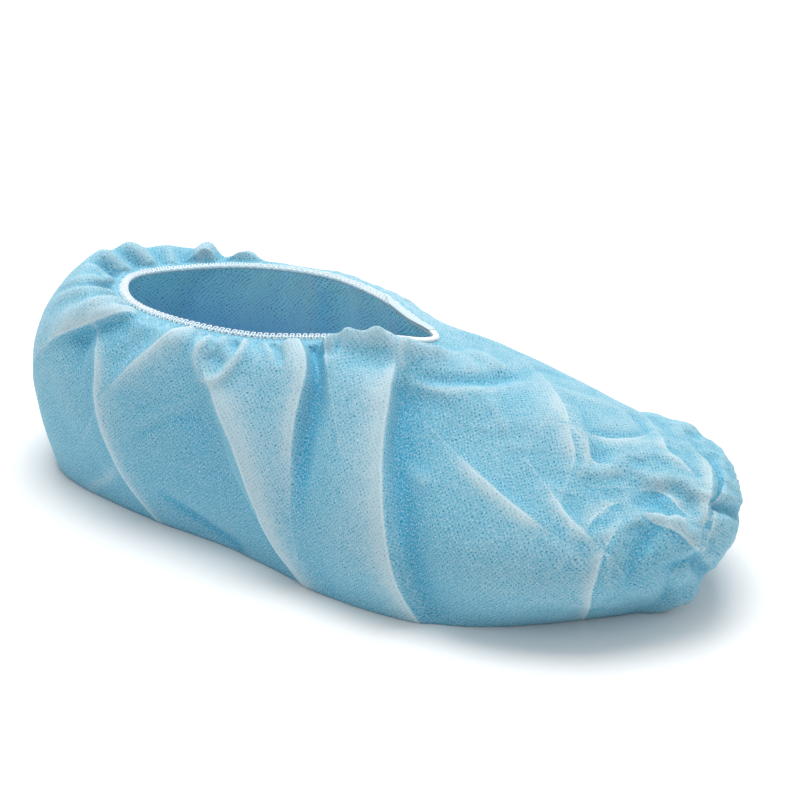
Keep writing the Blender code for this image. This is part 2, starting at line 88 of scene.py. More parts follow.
# Each fold has its values in hundredths and then the places that it runs through, as thousandths
# of a turn and hundredths of a level. Height is a share of foldHeight, negative for a valley; the
# widths toward the heel and the toe are shares of foldWidth; sharp 1 is a crease, 2 is soft.
foldColumns = ("height", "heelward", "toeward", "sharp")
folds = (
    # behind the heel: gathers fanning out from the band, and the two ears beyond it
    (22, 30, 30, 150, (30, 10), (55, 83), (36, 138)),
    (-25, 25, 25, 150, (45, 10), (63, 80), (40, 145)),
    (22, 30, 30, 150, (62, 10), (73, 78), (46, 150)),
    (-25, 40, 40, 170, (80, 10), (88, 80), (66, 140)),
    (22, 30, 30, 150, (101, 5), (105, 77), (90, 130)),
    (-18, 25, 25, 150, (120, 10), (116, 60), (108, 100)),
    (-36, 30, 30, 150, (1007, 5), (1013, 59), (1020, 95)),
    (29, 35, 35, 160, (991, 5), (995, 56), (1001, 100)),
    (-40, 30, 30, 150, (973, 5), (975, 42), (976, 90)),
    (36, 40, 40, 170, (960, 10), (963, 65), (966, 100)),
    (-29, 30, 30, 150, (945, 5), (944, 40), (942, 85)),
    (22, 60, 60, 180, (932, 10), (930, 40), (928, 90)),
    (-29, 25, 25, 150, (919, 6), (917, 33), (914, 75)),
    (125, 38, 50, 170, (889, 12), (888, 35), (886, 75)),
    (90, 60, 50, 180, (848, 12), (847, 35), (850, 65)),
    # the heel's overhang, the tuck under it and the turned edge of the panel below
    (60, 150, 22, 150, (143, 42), (121, 106), (92, 166)),
    (-70, 25, 70, 160, (148, 70), (126, 116), (106, 150)),
    (-45, 80, 30, 160, (117, 132), (126, 150), (138, 175)),
    (60, 22, 150, 150, (120, 120), (149, 154), (165, 180), (180, 212), (203, 290)),
    (-25, 80, 50, 180, (172, 75), (158, 129), (163, 160)),
    (50, 28, 90, 150, (209, 10), (184, 96), (175, 166)),
    (-12, 14, 14, 120, (201, 183), (221, 162), (239, 142)),
    (-14, 14, 14, 120, (200, 215), (229, 180), (253, 162)),
    (22, 25, 25, 150, (135, 295), (173, 259), (186, 241)),
    (-20, 80, 80, 200, (85, 175), (110, 210), (150, 250)),
    (-95, 35, 35, 130, (228, 260), (254, 280), (270, 290)),
    # the pucker by the near end of the heel quarter
    (40, 20, 20, 150, (230, 38), (221, 95), (234, 124)),
    (-50, 35, 35, 160, (233, 80), (240, 95), (250, 95)),
    (45, 22, 22, 150, (236, 128), (252, 118), (259, 62), (261, 12)),
    (-45, 20, 18, 140, (252, 10), (254, 40), (254, 78)),
    (28, 22, 22, 150, (243, 10), (240, 40), (236, 70)),
    (-25, 25, 25, 150, (222, 10), (214, 60), (206, 110)),
    # the near side: the long slanting ridge, the tab and the deep fold beside the lobe
    (80, 20, 150, 140, (245, 127), (266, 150), (289, 177), (306, 215), (320, 292)),
    (-60, 160, 30, 180, (240, 142), (270, 175), (292, 220), (305, 270)),
    (28, 18, 16, 140, (278, 8), (285, 50), (293, 85)),
    (-60, 22, 22, 140, (284, 8), (289, 40), (292, 80)),
    (75, 80, 20, 140, (305, 10), (312, 58), (314, 120), (324, 175)),
    (-115, 32, 40, 160, (320, 10), (321, 53), (324, 130), (334, 200)),
    (45, 18, 80, 150, (330, 12), (329, 54), (336, 105), (344, 150)),
    (-28, 20, 20, 140, (330, 30), (338, 36), (346, 14)),
    (70, 190, 170, 200, (360, 15), (358, 140), (357, 285)),
    (85, 120, 20, 140, (404, 36), (386, 72), (379, 123), (389, 205), (397, 290)),
    (-90, 20, 80, 170, (405, 48), (392, 80), (387, 126), (397, 205), (405, 275)),
    (80, 30, 30, 180, (330, 9), (338, 10), (348, 10)),
    (175, 50, 50, 200, (361, 10), (369, 10), (379, 10)),
    (205, 55, 55, 200, (402, 10), (419, 10), (444, 9), (472, 8)),
    (-25, 60, 60, 200, (345, 160), (342, 220), (344, 280)),
    # the vamp: the puff under the band's tip, the creases round it and the dome
    (60, 70, 70, 200, (425, 30), (455, 24), (487, 18)),
    (30, 22, 25, 150, (413, 42), (425, 22), (443, 11)),
    (-45, 25, 25, 150, (430, 36), (469, 29), (496, 27)),
    (28, 22, 30, 150, (406, 50), (440, 44), (470, 36), (495, 33)),
    (35, 30, 30, 160, (487, 5), (499, 13), (497, 24)),
    (-22, 20, 20, 140, (495, 29), (508, 36), (516, 48)),
    (40, 160, 30, 160, (503, 38), (490, 60), (478, 85), (465, 112)),
    (22, 25, 25, 150, (501, 44), (505, 57), (514, 69)),
    (14, 18, 18, 140, (475, 39), (466, 56), (456, 72)),
    (45, 260, 280, 200, (425, 90), (430, 160), (432, 250)),
    (32, 45, 22, 140, (420, 112), (438, 142), (447, 158)),
    (28, 35, 20, 140, (453, 122), (456, 147), (461, 166)),
    (18, 30, 30, 150, (390, 133), (399, 138), (407, 144)),
    # the toe: crumpled creases and the lobes of its outline
    (90, 120, 100, 200, (556, 105), (549, 130), (540, 145)),
    (-35, 25, 30, 150, (522, 78), (515, 84), (508, 88)),
    (-22, 20, 35, 140, (488, 70), (482, 84), (476, 96)),
    (29, 30, 18, 130, (466, 102), (474, 106), (486, 95)),
    (16, 20, 20, 140, (475, 108), (482, 105), (487, 112)),
    (-20, 25, 25, 150, (489, 74), (497, 80), (511, 89)),
    (16, 22, 25, 150, (484, 95), (496, 98), (506, 110)),
    (29, 30, 28, 140, (482, 114), (492, 121), (496, 150)),
    (-43, 40, 32, 150, (479, 132), (487, 130), (491, 140), (491, 154)),
    (26, 35, 18, 130, (519, 120), (508, 136), (498, 148), (490, 168)),
    (-29, 18, 28, 130, (522, 130), (511, 144), (501, 155), (493, 170)),
    (-12, 14, 14, 120, (532, 115), (519, 123), (510, 136)),
    (20, 20, 20, 140, (518, 145), (506, 158), (493, 186)),
    (-29, 20, 20, 140, (506, 154), (503, 165), (499, 176)),
    (-95, 24, 24, 150, (514, 205), (504, 175), (499, 158)),
    (26, 28, 25, 140, (478, 148), (485, 165), (489, 198)),
    (-40, 30, 30, 140, (478, 208), (485, 209), (492, 205)),
    (-26, 22, 22, 140, (479, 224), (482, 217), (485, 208)),
    (29, 30, 18, 130, (475, 142), (467, 175), (463, 205), (463, 260)),
    (-35, 18, 40, 140, (478, 152), (472, 185), (469, 225)),
    (16, 20, 20, 130, (480, 142), (471, 157), (459, 164)),
    (-130, 24, 24, 150, (500, 255), (492, 234), (487, 212)),
    (170, 60, 60, 200, (492, 250), (492, 278), (491, 298)),
    (-32, 26, 26, 150, (486, 266), (482, 238), (481, 220)),
    (-26, 35, 35, 160, (560, 95), (540, 98), (522, 102)),
    (-32, 35, 35, 150, (545, 180), (530, 195), (520, 220)),
    (26, 45, 35, 160, (560, 170), (552, 200), (545, 250)),
    # far side: broad folds between the opening and the floor
    (-65, 80, 50, 160, (572, 90), (582, 170), (580, 260)),
    (70, 50, 120, 150, (608, 60), (598, 160), (604, 275)),
    (-50, 40, 60, 150, (628, 60), (632, 150), (640, 240)),
    (-60, 60, 40, 160, (648, 50), (650, 120), (655, 220)),
    (75, 140, 30, 150, (678, 70), (684, 170), (690, 285)),
    (-80, 40, 60, 150, (700, 45), (704, 130), (716, 240)),
    (50, 30, 80, 150, (724, 75), (722, 140), (712, 260)),
    (65, 60, 120, 160, (752, 85), (748, 170), (742, 270)),
    (-80, 60, 40, 150, (785, 45), (776, 150), (768, 260)),
    (40, 40, 30, 150, (812, 75), (808, 130), (800, 200)),
    (55, 100, 50, 160, (830, 60), (836, 160), (842, 260)),
    (-60, 60, 40, 160, (862, 80), (874, 150), (886, 230)),
    (45, 80, 60, 170, (905, 100), (918, 160), (930, 220)),
    (-35, 60, 60, 170, (950, 160), (960, 210), (965, 260)),
)
# Painted light and shade along a fold, written the same way: paler where the cloth lies double,
# which is partly the doubled cloth's own colour and partly painted light, and painted shade deeper
# in a tuck.
paintedPleatColumns = ("doublingAndPaintedLight", "heelward", "toeward")
paintedPleats = (
    (45, 40, 12, (143, 42), (121, 106), (92, 166)),
    (-55, 20, 45, (145, 85), (126, 118), (108, 148)),
    (35, 12, 30, (120, 120), (149, 154), (165, 180), (180, 212), (203, 290)),
    (35, 15, 40, (209, 10), (184, 96), (175, 166)),
    (40, 28, 28, (135, 295), (173, 259), (186, 241)),
    (-180, 16, 16, (224, 255), (252, 278), (274, 292)),
    (-25, 14, 14, (200, 215), (229, 180), (253, 162)),
    (35, 14, 14, (230, 38), (221, 95), (234, 124)),
    (35, 16, 16, (236, 128), (252, 118), (259, 62), (261, 12)),
    (85, 14, 46, (245, 127), (266, 150), (289, 177), (306, 215), (320, 292)),
    (-30, 160, 30, (238, 150), (268, 185), (290, 230)),
    (40, 40, 12, (305, 10), (312, 58), (314, 120), (324, 175)),
    (-70, 28, 34, (320, 20), (321, 63), (325, 130), (335, 200)),
    (30, 10, 30, (331, 12), (330, 36), (331, 60)),
    (-30, 70, 70, (326, 190), (332, 240), (338, 285)),
    (62, 50, 12, (404, 36), (386, 72), (379, 123), (389, 205), (397, 290)),
    (-60, 20, 60, (405, 52), (393, 80), (387, 126), (397, 205), (405, 260)),
    (30, 16, 16, (352, 10), (368, 12), (396, 11), (430, 11), (462, 9)),
    (30, 15, 15, (413, 42), (425, 22), (443, 11)),
    (35, 16, 16, (406, 50), (440, 44), (470, 36), (495, 33)),
    (-35, 18, 18, (455, 31), (472, 28), (496, 27)),
    (40, 20, 12, (501, 42), (491, 58), (478, 77), (465, 106)),
    (45, 22, 12, (420, 112), (438, 142), (447, 158)),
    (35, 18, 12, (453, 122), (456, 147), (461, 166)),
    (35, 30, 30, (390, 133), (399, 138), (407, 144)),
    (30, 16, 10, (487, 72), (479, 85), (475, 96), (478, 101)),
    (35, 18, 8, (487, 72), (491, 79), (498, 82), (512, 87)),
    (30, 14, 14, (465, 106), (470, 110), (475, 110), (481, 110)),
    (30, 14, 10, (515, 93), (506, 98), (503, 110), (501, 124)),
    (50, 24, 10, (519, 122), (505, 134), (496, 150), (490, 178)),
    (-50, 14, 20, (522, 130), (509, 142), (500, 155), (493, 178)),
    (30, 10, 14, (514, 149), (499, 161), (492, 188), (489, 211)),
    (45, 8, 22, (482, 124), (486, 128), (487, 141), (489, 163)),
    (-50, 24, 20, (479, 133), (484, 138), (487, 152)),
    (30, 14, 8, (476, 146), (480, 150), (483, 155), (490, 163)),
    (30, 8, 16, (476, 146), (479, 159), (483, 171), (486, 189), (490, 208)),
    (40, 18, 8, (473, 132), (468, 137), (464, 145), (461, 153)),
    (45, 18, 8, (469, 156), (464, 175), (461, 197), (460, 228), (466, 285)),
    (-50, 16, 35, (476, 155), (470, 185), (467, 225)),
    (-55, 24, 24, (478, 208), (485, 209), (492, 205)),
    # the far side
    (45, 12, 35, (608, 60), (598, 160), (604, 275)),
    (-50, 30, 16, (648, 50), (650, 120), (655, 220)),
    (50, 40, 12, (678, 70), (684, 170), (690, 285)),
    (-60, 16, 30, (700, 45), (704, 130), (716, 240)),
    (45, 12, 40, (752, 85), (748, 170), (742, 270)),
    (-60, 30, 16, (785, 45), (776, 150), (768, 260)),
    (40, 35, 12, (830, 60), (836, 160), (842, 260)),
    (35, 30, 12, (905, 100), (918, 160), (930, 220)),
)


def unit(vectors):
    return vectors / np.maximum(np.linalg.norm(vectors, axis=-1, keepdims=True), 1e-12)


def hermite(part, start, startSlope, end, endSlope):
    square = part * part
    cube = square * part
    return ((2 * cube - 3 * square + 1) * start + (cube - 2 * square + part) * startSlope
            + (3 * square - 2 * cube) * end + (cube - square) * endSlope)


def stationValues():
    # the stations with their shares as metres, and the height of the sole
    tall = form["openingHeight"]
    body = (form["coverLength"] / 2, form["coverWidth"] / 2, tall)
    opening = (form["openingLength"] / 2, form["openingWidth"] / 2, tall)
    sole = (form["soleLength"] / 2, form["soleWidth"] / 2)
    values = np.array(stations) * (1, 1, 1, *opening, *body, *body, *sole)
    values[:, 3] += form["openingCentreX"]
    values[:, 12] += form["soleCentreX"]
    return np.hstack((values, np.zeros((len(values), 1))))


stationTable = stationValues()


def loopPoints(turns):
    # dips and falls in radians, then the rim, crown, belly and sole points at these turns
    knots = stationTable[:, 0]
    values = stationTable[:, 1:]
    count = len(knots)
    allKnots = np.concatenate((knots - 1.0, knots, knots + 1.0))
    allValues = np.concatenate((values, values, values))
    slopes = np.zeros_like(allValues)
    slopes[1:-1] = (allValues[2:] - allValues[:-2]) / (allKnots[2:] - allKnots[:-2])[:, None]
    turns = np.mod(turns, 1.0)
    left = np.clip(np.searchsorted(allKnots, turns, side="right") - 1, count - 1, 2 * count)
    span = (allKnots[left + 1] - allKnots[left])[:, None]
    part = (turns - allKnots[left])[:, None] / span
    found = hermite(part, allValues[left], slopes[left] * span,
                    allValues[left + 1], slopes[left + 1] * span)
    return np.radians(found[:, :2]), found[:, 2:5], found[:, 5:8], found[:, 8:11], found[:, 11:14]


def edgeFrame(turns):
    # the rim, the way the cloth leaves it and the way its outer face looks
    step = form["slopeStep"]
    angles, rim = loopPoints(turns)[:2]
    dips = angles[:, 0]
    along = unit(loopPoints(turns + step)[1] - loopPoints(turns - step)[1])
    flatOut = unit(np.stack((along[:, 1], -along[:, 0], np.zeros(len(turns))), axis=1))
    out = np.cos(dips)[:, None] * flatOut + np.sin(dips)[:, None] * np.array((0.0, 0.0, -1.0))
    out = unit(out - np.sum(out * along, axis=1, keepdims=True) * along)
    return rim, out, np.cross(out, along)


def formPoints(turns, levels):
    turns = np.asarray(turns, float)
    levels = np.asarray(levels, float)
    angles, rim, crown, belly, sole = loopPoints(turns)
    rim, out, face = edgeFrame(turns)
    collar = rim + out * form["collar"]
    falls = angles[:, 1:]
    toCrown = np.cos(falls) * out - np.sin(falls) * face
    toCrown = toCrown * np.linalg.norm(crown - collar, axis=1, keepdims=True)
    overCrown = form["overCrown"] * (belly - collar)
    downBelly = form["downBelly"] * (sole - crown) * np.array(form["bellyPull"])
    under = (sole - belly) * np.array(form["solePull"])
    part = (levels - np.clip(np.floor(levels), 0, 2))[:, None]
    upper = hermite(part, collar, toCrown, crown, overCrown)
    middle = hermite(part, crown, overCrown, belly, downBelly)
    lower = hermite(part, belly, downBelly, sole, under)
    band = levels[:, None]
    return np.where(band < 1, upper, np.where(band < 2, middle, lower))


def evenTurns(count, dense=0.0):
    # meridians spread evenly along the crown and belly rather than along the small rim, and
    # closer together on the near side, where the folds are finest
    fine = np.linspace(0.0, 1.0, form["fineTurns"])
    loops = loopPoints(fine)[1:]
    pace = np.zeros(len(fine) - 1)
    for loop, share in zip(loops, cloth["loopShares"]):
        steps = np.linalg.norm(np.diff(loop, axis=0), axis=1)
        pace += share * steps / np.sum(steps)
    pace *= 1 + dense * np.cos(2 * math.pi * (fine[:-1] - cloth["densestTurn"]))
    blend = np.concatenate(((0.0,), np.cumsum(pace)))
    return np.interp(np.arange(count) / count, blend / blend[-1], fine)


def smoothStep(low, high, values):
    part = np.clip((values - low) / (high - low), 0.0, 1.0)
    return part * part * (3 - 2 * part)


def hump(values, centre, width, power=2):
    return np.exp(-((np.abs(values - centre) / width) ** power))


def smoothPath(knots):
    # a smooth line through the places, as turns and levels
    slopes = np.gradient(knots, axis=0)
    share = np.linspace(0.0, len(knots) - 1.0, cloth["lineSamples"])
    left = np.minimum(share.astype(int), len(knots) - 2)
    part = (share - left)[:, None]
    return hermite(part, knots[left], slopes[left], knots[left + 1], slopes[left + 1]).T


def besideLine(row, columns, places, narrow=1.0, wide=1.0):
    # the row's values, the places near its line, how far off they lie in metres, how wide the row
    # is there, how much of the way off is toward the toe, and how strong the row is
    at = {name: value / 100 for name, value in zip(columns, row)}
    heelward, toeward = at["heelward"], at["toeward"]
    if heelward < toeward:
        heelward, toeward = heelward * narrow, toeward * wide
    elif heelward > toeward:
        heelward, toeward = heelward * wide, toeward * narrow
    lineTurns, lineLevels = smoothPath(np.array(row[len(columns):]) / (1000, 100))
    step = form["lineStep"]
    line = formPoints(lineTurns, lineLevels)
    across = formPoints(lineTurns + step, lineLevels) - line
    face = np.cross(formPoints(lineTurns, lineLevels + step) - line, across)
    side = unit(np.cross(np.gradient(line, axis=0), face))
    if np.sum(side * across) < 0:
        side = -side
    reach = cloth["lineReach"] * cloth["foldWidth"] * max(heelward, toeward)
    inside = (places > line.min(axis=0) - reach) & (places < line.max(axis=0) + reach)
    near = np.nonzero(np.all(inside, axis=1))[0]
    steps = line[1:] - line[:-1]
    offsets = places[near, None, :] - line[None, :-1, :]
    part = np.clip(np.sum(offsets * steps, axis=2) / np.sum(steps * steps, axis=1), 0.0, 1.0)
    offsets = offsets - part[:, :, None] * steps
    gaps = np.linalg.norm(offsets, axis=2)
    nearest = np.argmin(gaps, axis=1)
    each = np.arange(len(near))
    gap = gaps[each, nearest]
    sideways = np.sum(offsets[each, nearest] * side[nearest], axis=1)
    lean = np.clip(sideways / np.maximum(gap, 1e-5), -1, 1)
    towardToe = 0.5 + 0.5 * lean
    width = cloth["foldWidth"] * (heelward * (1 - towardToe) + toeward * towardToe)
    onward = (nearest + part[each, nearest]) / len(steps)
    strength = np.ones(len(near))
    # a fold dies away at its ends, except at the band and at the sole's edge
    lowest, highest = cloth["fadeLevels"]
    for level, way in ((lineLevels[0], onward), (lineLevels[-1], 1 - onward)):
        if lowest < level < highest:
            strength *= smoothStep(*cloth["fade"], way)
    return at, near, gap, width, lean, strength


def foldPush(places):
    # how far the folds push each place out
    push = np.zeros(len(places))
    for row in folds:
        fold, near, gap, width, lean, strength = besideLine(row, foldColumns, places)
        gap = gap / width
        soft = cloth["creaseRadius"] / (cloth["foldWidth"] * min(fold["heelward"], fold["toeward"]))
        gap = np.sqrt(gap * gap + soft * soft) - soft
        height = cloth["foldHeight"] * fold["height"]
        push[near] += height * strength * np.exp(-(gap ** fold["sharp"]))
    return push


def pleatMarks(places):
    # where the cloth lies double and looks paler, partly as painted light, or sinks into a fold and
    # gets painted shade; also the millimetres to the nearest turned edge, positive on its pale
    # side, and how clear it is
    doublingAndPaintedLight = np.zeros(len(places))
    edge = np.full(len(places), cloth["edgeFar"])
    clear = np.zeros(len(places))
    for row in paintedPleats:
        pleat, near, gap, width, lean, strength = besideLine(
            row, paintedPleatColumns, places, cloth["panelNarrow"], cloth["panelReach"])
        doublingAndPaintedLight[near] += pleat["doublingAndPaintedLight"] * strength * np.exp(-((gap / width) ** cloth["pleatFall"]))
        lopsided = pleat["toeward"] - pleat["heelward"]
        if pleat["doublingAndPaintedLight"] < 0 or lopsided == 0:
            continue
        across = 1000 * gap * lean * (1 if lopsided > 0 else -1)
        nearer = np.abs(across) < np.abs(edge[near])
        edge[near[nearer]] = across[nearer]
        clear[near[nearer]] = (strength * hump(across, 0, cloth["edgeFade"]))[nearer]
    return doublingAndPaintedLight, edge, clear


gather = {
    "count": 62, "height": 0.0005, "width": 0.0022, "reach": 0.016, "stray": 0.3, "lean": 0.12,
    "widths": (0.6, 1.3), "heights": (0.4, 1.5), "reaches": (0.4, 1.4), "rise": (0.0, 0.005),
    "seed": 7,
}


def gatherPush(turns, places):
    # short puckers fanning out from the band
    draw = np.random.default_rng(gather["seed"])
    fine = np.linspace(0.0, 1.0, form["fineTurns"])
    loop = formPoints(fine, np.zeros(len(fine)))
    run = np.concatenate(((0.0,), np.cumsum(np.linalg.norm(np.diff(loop, axis=0), axis=1))))
    around = np.interp(np.mod(turns, 1.0), fine, run)
    collar = formPoints(turns, np.zeros(len(turns)))
    away = np.linalg.norm(places - collar, axis=1)
    count, stray = gather["count"], gather["stray"]
    push = np.zeros(len(turns))
    for index in range(count):
        centre = run[-1] * (index + draw.uniform(-stray, stray)) / count
        lean = draw.uniform(-gather["lean"], gather["lean"])
        width = gather["width"] * draw.uniform(*gather["widths"])
        height = gather["height"] * draw.uniform(*gather["heights"])
        reach = gather["reach"] * draw.uniform(*gather["reaches"])
        gap = np.mod(around - centre - lean * away + run[-1] / 2, run[-1]) - run[-1] / 2
        spread = width * (1 + away / reach)
        rise = smoothStep(*gather["rise"], away) * hump(away, 0, reach)
        push += height * rise * hump(gap, 0, spread)
    return push


crumple = {
    "height": 0.0008, "toeSize": 0.012, "crushShare": 0.30, "crushSize": 0.021, "least": 0.01,
    "bend": 0.55, "bendScale": 0.9, "octaves": 3, "octaveStep": (3.1, 1.7, 5.3), "middle": 0.8,
    "ridge": 2.6, "weightFall": 0.5, "scaleRise": 2.1,
}


def crumplePush(places, mask, size):
    # facets that meet in sharp ridges, as in crushed nonwoven
    push = np.zeros(len(places))
    for index in np.nonzero(mask > crumple["least"])[0]:
        point = Vector(places[index]) / size
        bend = noise.noise_vector(point * crumple["bendScale"]) * crumple["bend"]
        total = 0.0
        weight = 1.0
        scale = 1.0
        for octave in range(crumple["octaves"]):
            value = noise.noise(point * scale + bend + Vector(crumple["octaveStep"]) * octave)
            total += weight * (1.0 - crumple["ridge"] * abs(value))
            weight *= crumple["weightFall"]
            scale *= crumple["scaleRise"]
        push[index] = total - crumple["middle"]
    return push * mask * crumple["height"]


def ringNormals(grid):
    across = np.roll(grid, -1, axis=1) - np.roll(grid, 1, axis=1)
    downward = np.gradient(grid, axis=0)
    return unit(np.cross(downward, across))


def evened(grid, passes):
    # each point moved to the mean of its neighbours, many times
    soft = grid.copy()
    for count in range(passes):
        up = np.concatenate((soft[:1], soft[:-1]))
        down = np.concatenate((soft[1:], soft[-1:]))
        soft = (soft + np.roll(soft, 1, axis=1) + np.roll(soft, -1, axis=1) + up + down) / 5
    return soft


settle = {
    "step": 3, "coarseRounds": 500, "fineRounds": 60, "stillness": 0.90, "hold": 0.010,
    "holdAtFloor": 0.08, "floorLevels": (2.4, 3.0), "reach": 0.0060, "reachShares": (0.35, 0.65),
    "fineReach": 1.2, "coarseBend": 0.10, "fineBend": 0.20, "fineSpare": 0.85,
    "spareAround": 0.012, "spareDown": 0.006, "spareAtBand": 0.17, "bandReach": 0.55,
    "farTurn": 0.70, "farWidth": 0.15, "farTight": 0.75, "spareAtHeel": 0.07, "heelWidth": 0.11,
    "spareAtToe": 0.09, "toeWidth": 0.055, "toeLevels": (0.6, 1.1),
    "startWave": 0.0006, "startSize": 0.011,
}


def pullTogether(first, second, rest, firstFree, secondFree):
    # moves two neighbours toward the length of flat cloth between them
    gap = second - first
    length = np.maximum(np.linalg.norm(gap, axis=2), 1e-9)
    share = (length - rest) / length / np.maximum(firstFree + secondFree, 1e-9)
    move = gap * share[:, :, None]
    first += move * firstFree[:, :, None]
    second -= move * secondFree[:, :, None]


def pullSheet(place, rests, free):
    # one pass over all threads: round the cover, down it and along both diagonals
    restAround, restDown, restFalling, restRising = rests
    pullTogether(place[:, 0::2], place[:, 1::2], restAround[:, 0::2], free[:, 0::2], free[:, 1::2])
    second = np.roll(place[:, 0::2], -1, axis=1)
    pullTogether(place[:, 1::2], second, restAround[:, 1::2], free[:, 1::2],
                 np.roll(free[:, 0::2], -1, axis=1))
    place[:, 0::2] = np.roll(second, 1, axis=1)
    for start in (0, 1):
        lower = place[start + 1::2]
        count = len(lower)
        upper = place[start:-1:2][:count]
        upperFree = free[start:-1:2][:count]
        lowerFree = free[start + 1::2]
        pullTogether(upper, lower, restDown[start::2][:count], upperFree, lowerFree)
        for shift, rest in ((-1, restFalling), (1, restRising)):
            moved = np.roll(lower, shift, axis=1)
            restRow = rest[start::2][:count]
            if shift == 1:
                restRow = np.roll(restRow, 1, axis=1)
            pullTogether(upper, moved, restRow, upperFree, np.roll(lowerFree, shift, axis=1))
            lower[:] = np.roll(moved, -shift, axis=1)


def settleSheet(target, start, around, downward, free, hold, rounds, bend, reach):
    # Each thread keeps the length it was cut to. Spare cloth buckles into folds that run as the
    # gathers draw them, while a weak hold keeps the whole near its place.
    sideways = np.roll(target, -1, axis=1) - target
    down = target[1:] - target[:-1]
    wide = sideways[:-1] * around[:-1, :, None]
    tall = down * downward[:-1, :, None]
    rests = (np.linalg.norm(sideways, axis=2) * around,
             np.linalg.norm(tall, axis=2),
             np.linalg.norm(wide + np.roll(tall, -1, axis=1), axis=2),
             np.linalg.norm(tall - wide, axis=2))
    place = start.copy()
    before = place.copy()
    held = (hold * free)[:, :, None]
    bent = bend * free[:, :, None]
    for count in range(rounds):
        onward = place + settle["stillness"] * (place - before)
        before = place
        place = onward
        pullSheet(place, rests, free)
        away = place - target
        away += bent * ((np.roll(away, 1, axis=1) + np.roll(away, -1, axis=1)) / 2 - away)
        middle = away.copy()
        middle[1:-1] = (away[2:] + away[:-2]) / 2
        away += bent * (middle - away)
        away -= held * away
        far = np.linalg.norm(away, axis=2, keepdims=True)
        place = target + away * np.minimum(1.0, reach[:, :, None] / np.maximum(far, 1e-9))
        place[:, :, 2] = np.maximum(place[:, :, 2], 0.0)
    return place


def finer(grid, step, axis, closed):
    # cubic curves through every row or column of a coarse grid
    grid = np.moveaxis(grid, axis, 0)
    if closed:
        padded = np.concatenate((grid[-1:], grid, grid[:2]))
    else:
        padded = np.concatenate((2 * grid[:1] - grid[1:2], grid, 2 * grid[-1:] - grid[-2:-1]))
    start, end = padded[1:-2], padded[2:-1]
    startSlope, endSlope = (padded[2:-1] - padded[:-3]) / 2, (padded[3:] - padded[1:-2]) / 2
    parts = [hermite(part / step, start, startSlope, end, endSlope) for part in range(step)]
    result = np.stack(parts, axis=1).reshape((-1,) + grid.shape[1:])
    if not closed:
        result = np.concatenate((result, grid[-1:]))
    return np.moveaxis(result, 0, axis)


def settleCloth(target, turns, levels):
    # first on a coarse net, which finds the folds, then on the full one, which draws them crisp
    rows, columns = target.shape[:2]
    turnGrid = np.broadcast_to(turns[None, :], (rows, columns))
    levelGrid = np.broadcast_to(levels[:, None], (rows, columns))
    toe = hump(turnGrid, cloth["toeTurn"], settle["toeWidth"], 3)
    toe = toe * smoothStep(*settle["toeLevels"], levelGrid)
    heel = hump(np.minimum(turnGrid, 1 - turnGrid), 0, settle["heelWidth"])
    atBand = hump(levelGrid, 0, settle["bandReach"])
    tight = 1 - settle["farTight"] * hump(turnGrid, settle["farTurn"], settle["farWidth"], 4)
    around = settle["spareAround"] + settle["spareAtBand"] * atBand * tight
    around = around + settle["spareAtToe"] * toe + settle["spareAtHeel"] * heel
    downward = settle["spareDown"] + settle["spareAtToe"] * toe
    free = np.ones((rows, columns))
    free[0] = 0.0
    free[-1] = 0.0
    atFloor = smoothStep(*settle["floorLevels"], levelGrid)
    hold = settle["hold"] + (settle["holdAtFloor"] - settle["hold"]) * atFloor
    least, more = settle["reachShares"]
    reach = settle["reach"] * (least + more * np.maximum(toe, atBand))
    step = settle["step"]
    net = (slice(None, None, step), slice(None, None, step))
    coarse = target[net]
    waves = [noise.noise(Vector(point) / settle["startSize"]) for point in coarse.reshape(-1, 3)]
    waves = np.array(waves).reshape(coarse.shape[:2]) * free[net] * settle["startWave"]
    start = coarse + ringNormals(coarse) * waves[:, :, None]
    found = settleSheet(coarse, start, 1 + around[net], 1 + downward[net], free[net], hold[net],
                        settle["coarseRounds"], settle["coarseBend"], reach[net])
    moved = finer(finer(found - coarse, step, 0, False), step, 1, True)
    share = settle["fineSpare"]
    return settleSheet(target, target + moved, 1 + around * share, 1 + downward * share, free, hold,
                       settle["fineRounds"], settle["fineBend"], reach * settle["fineReach"])


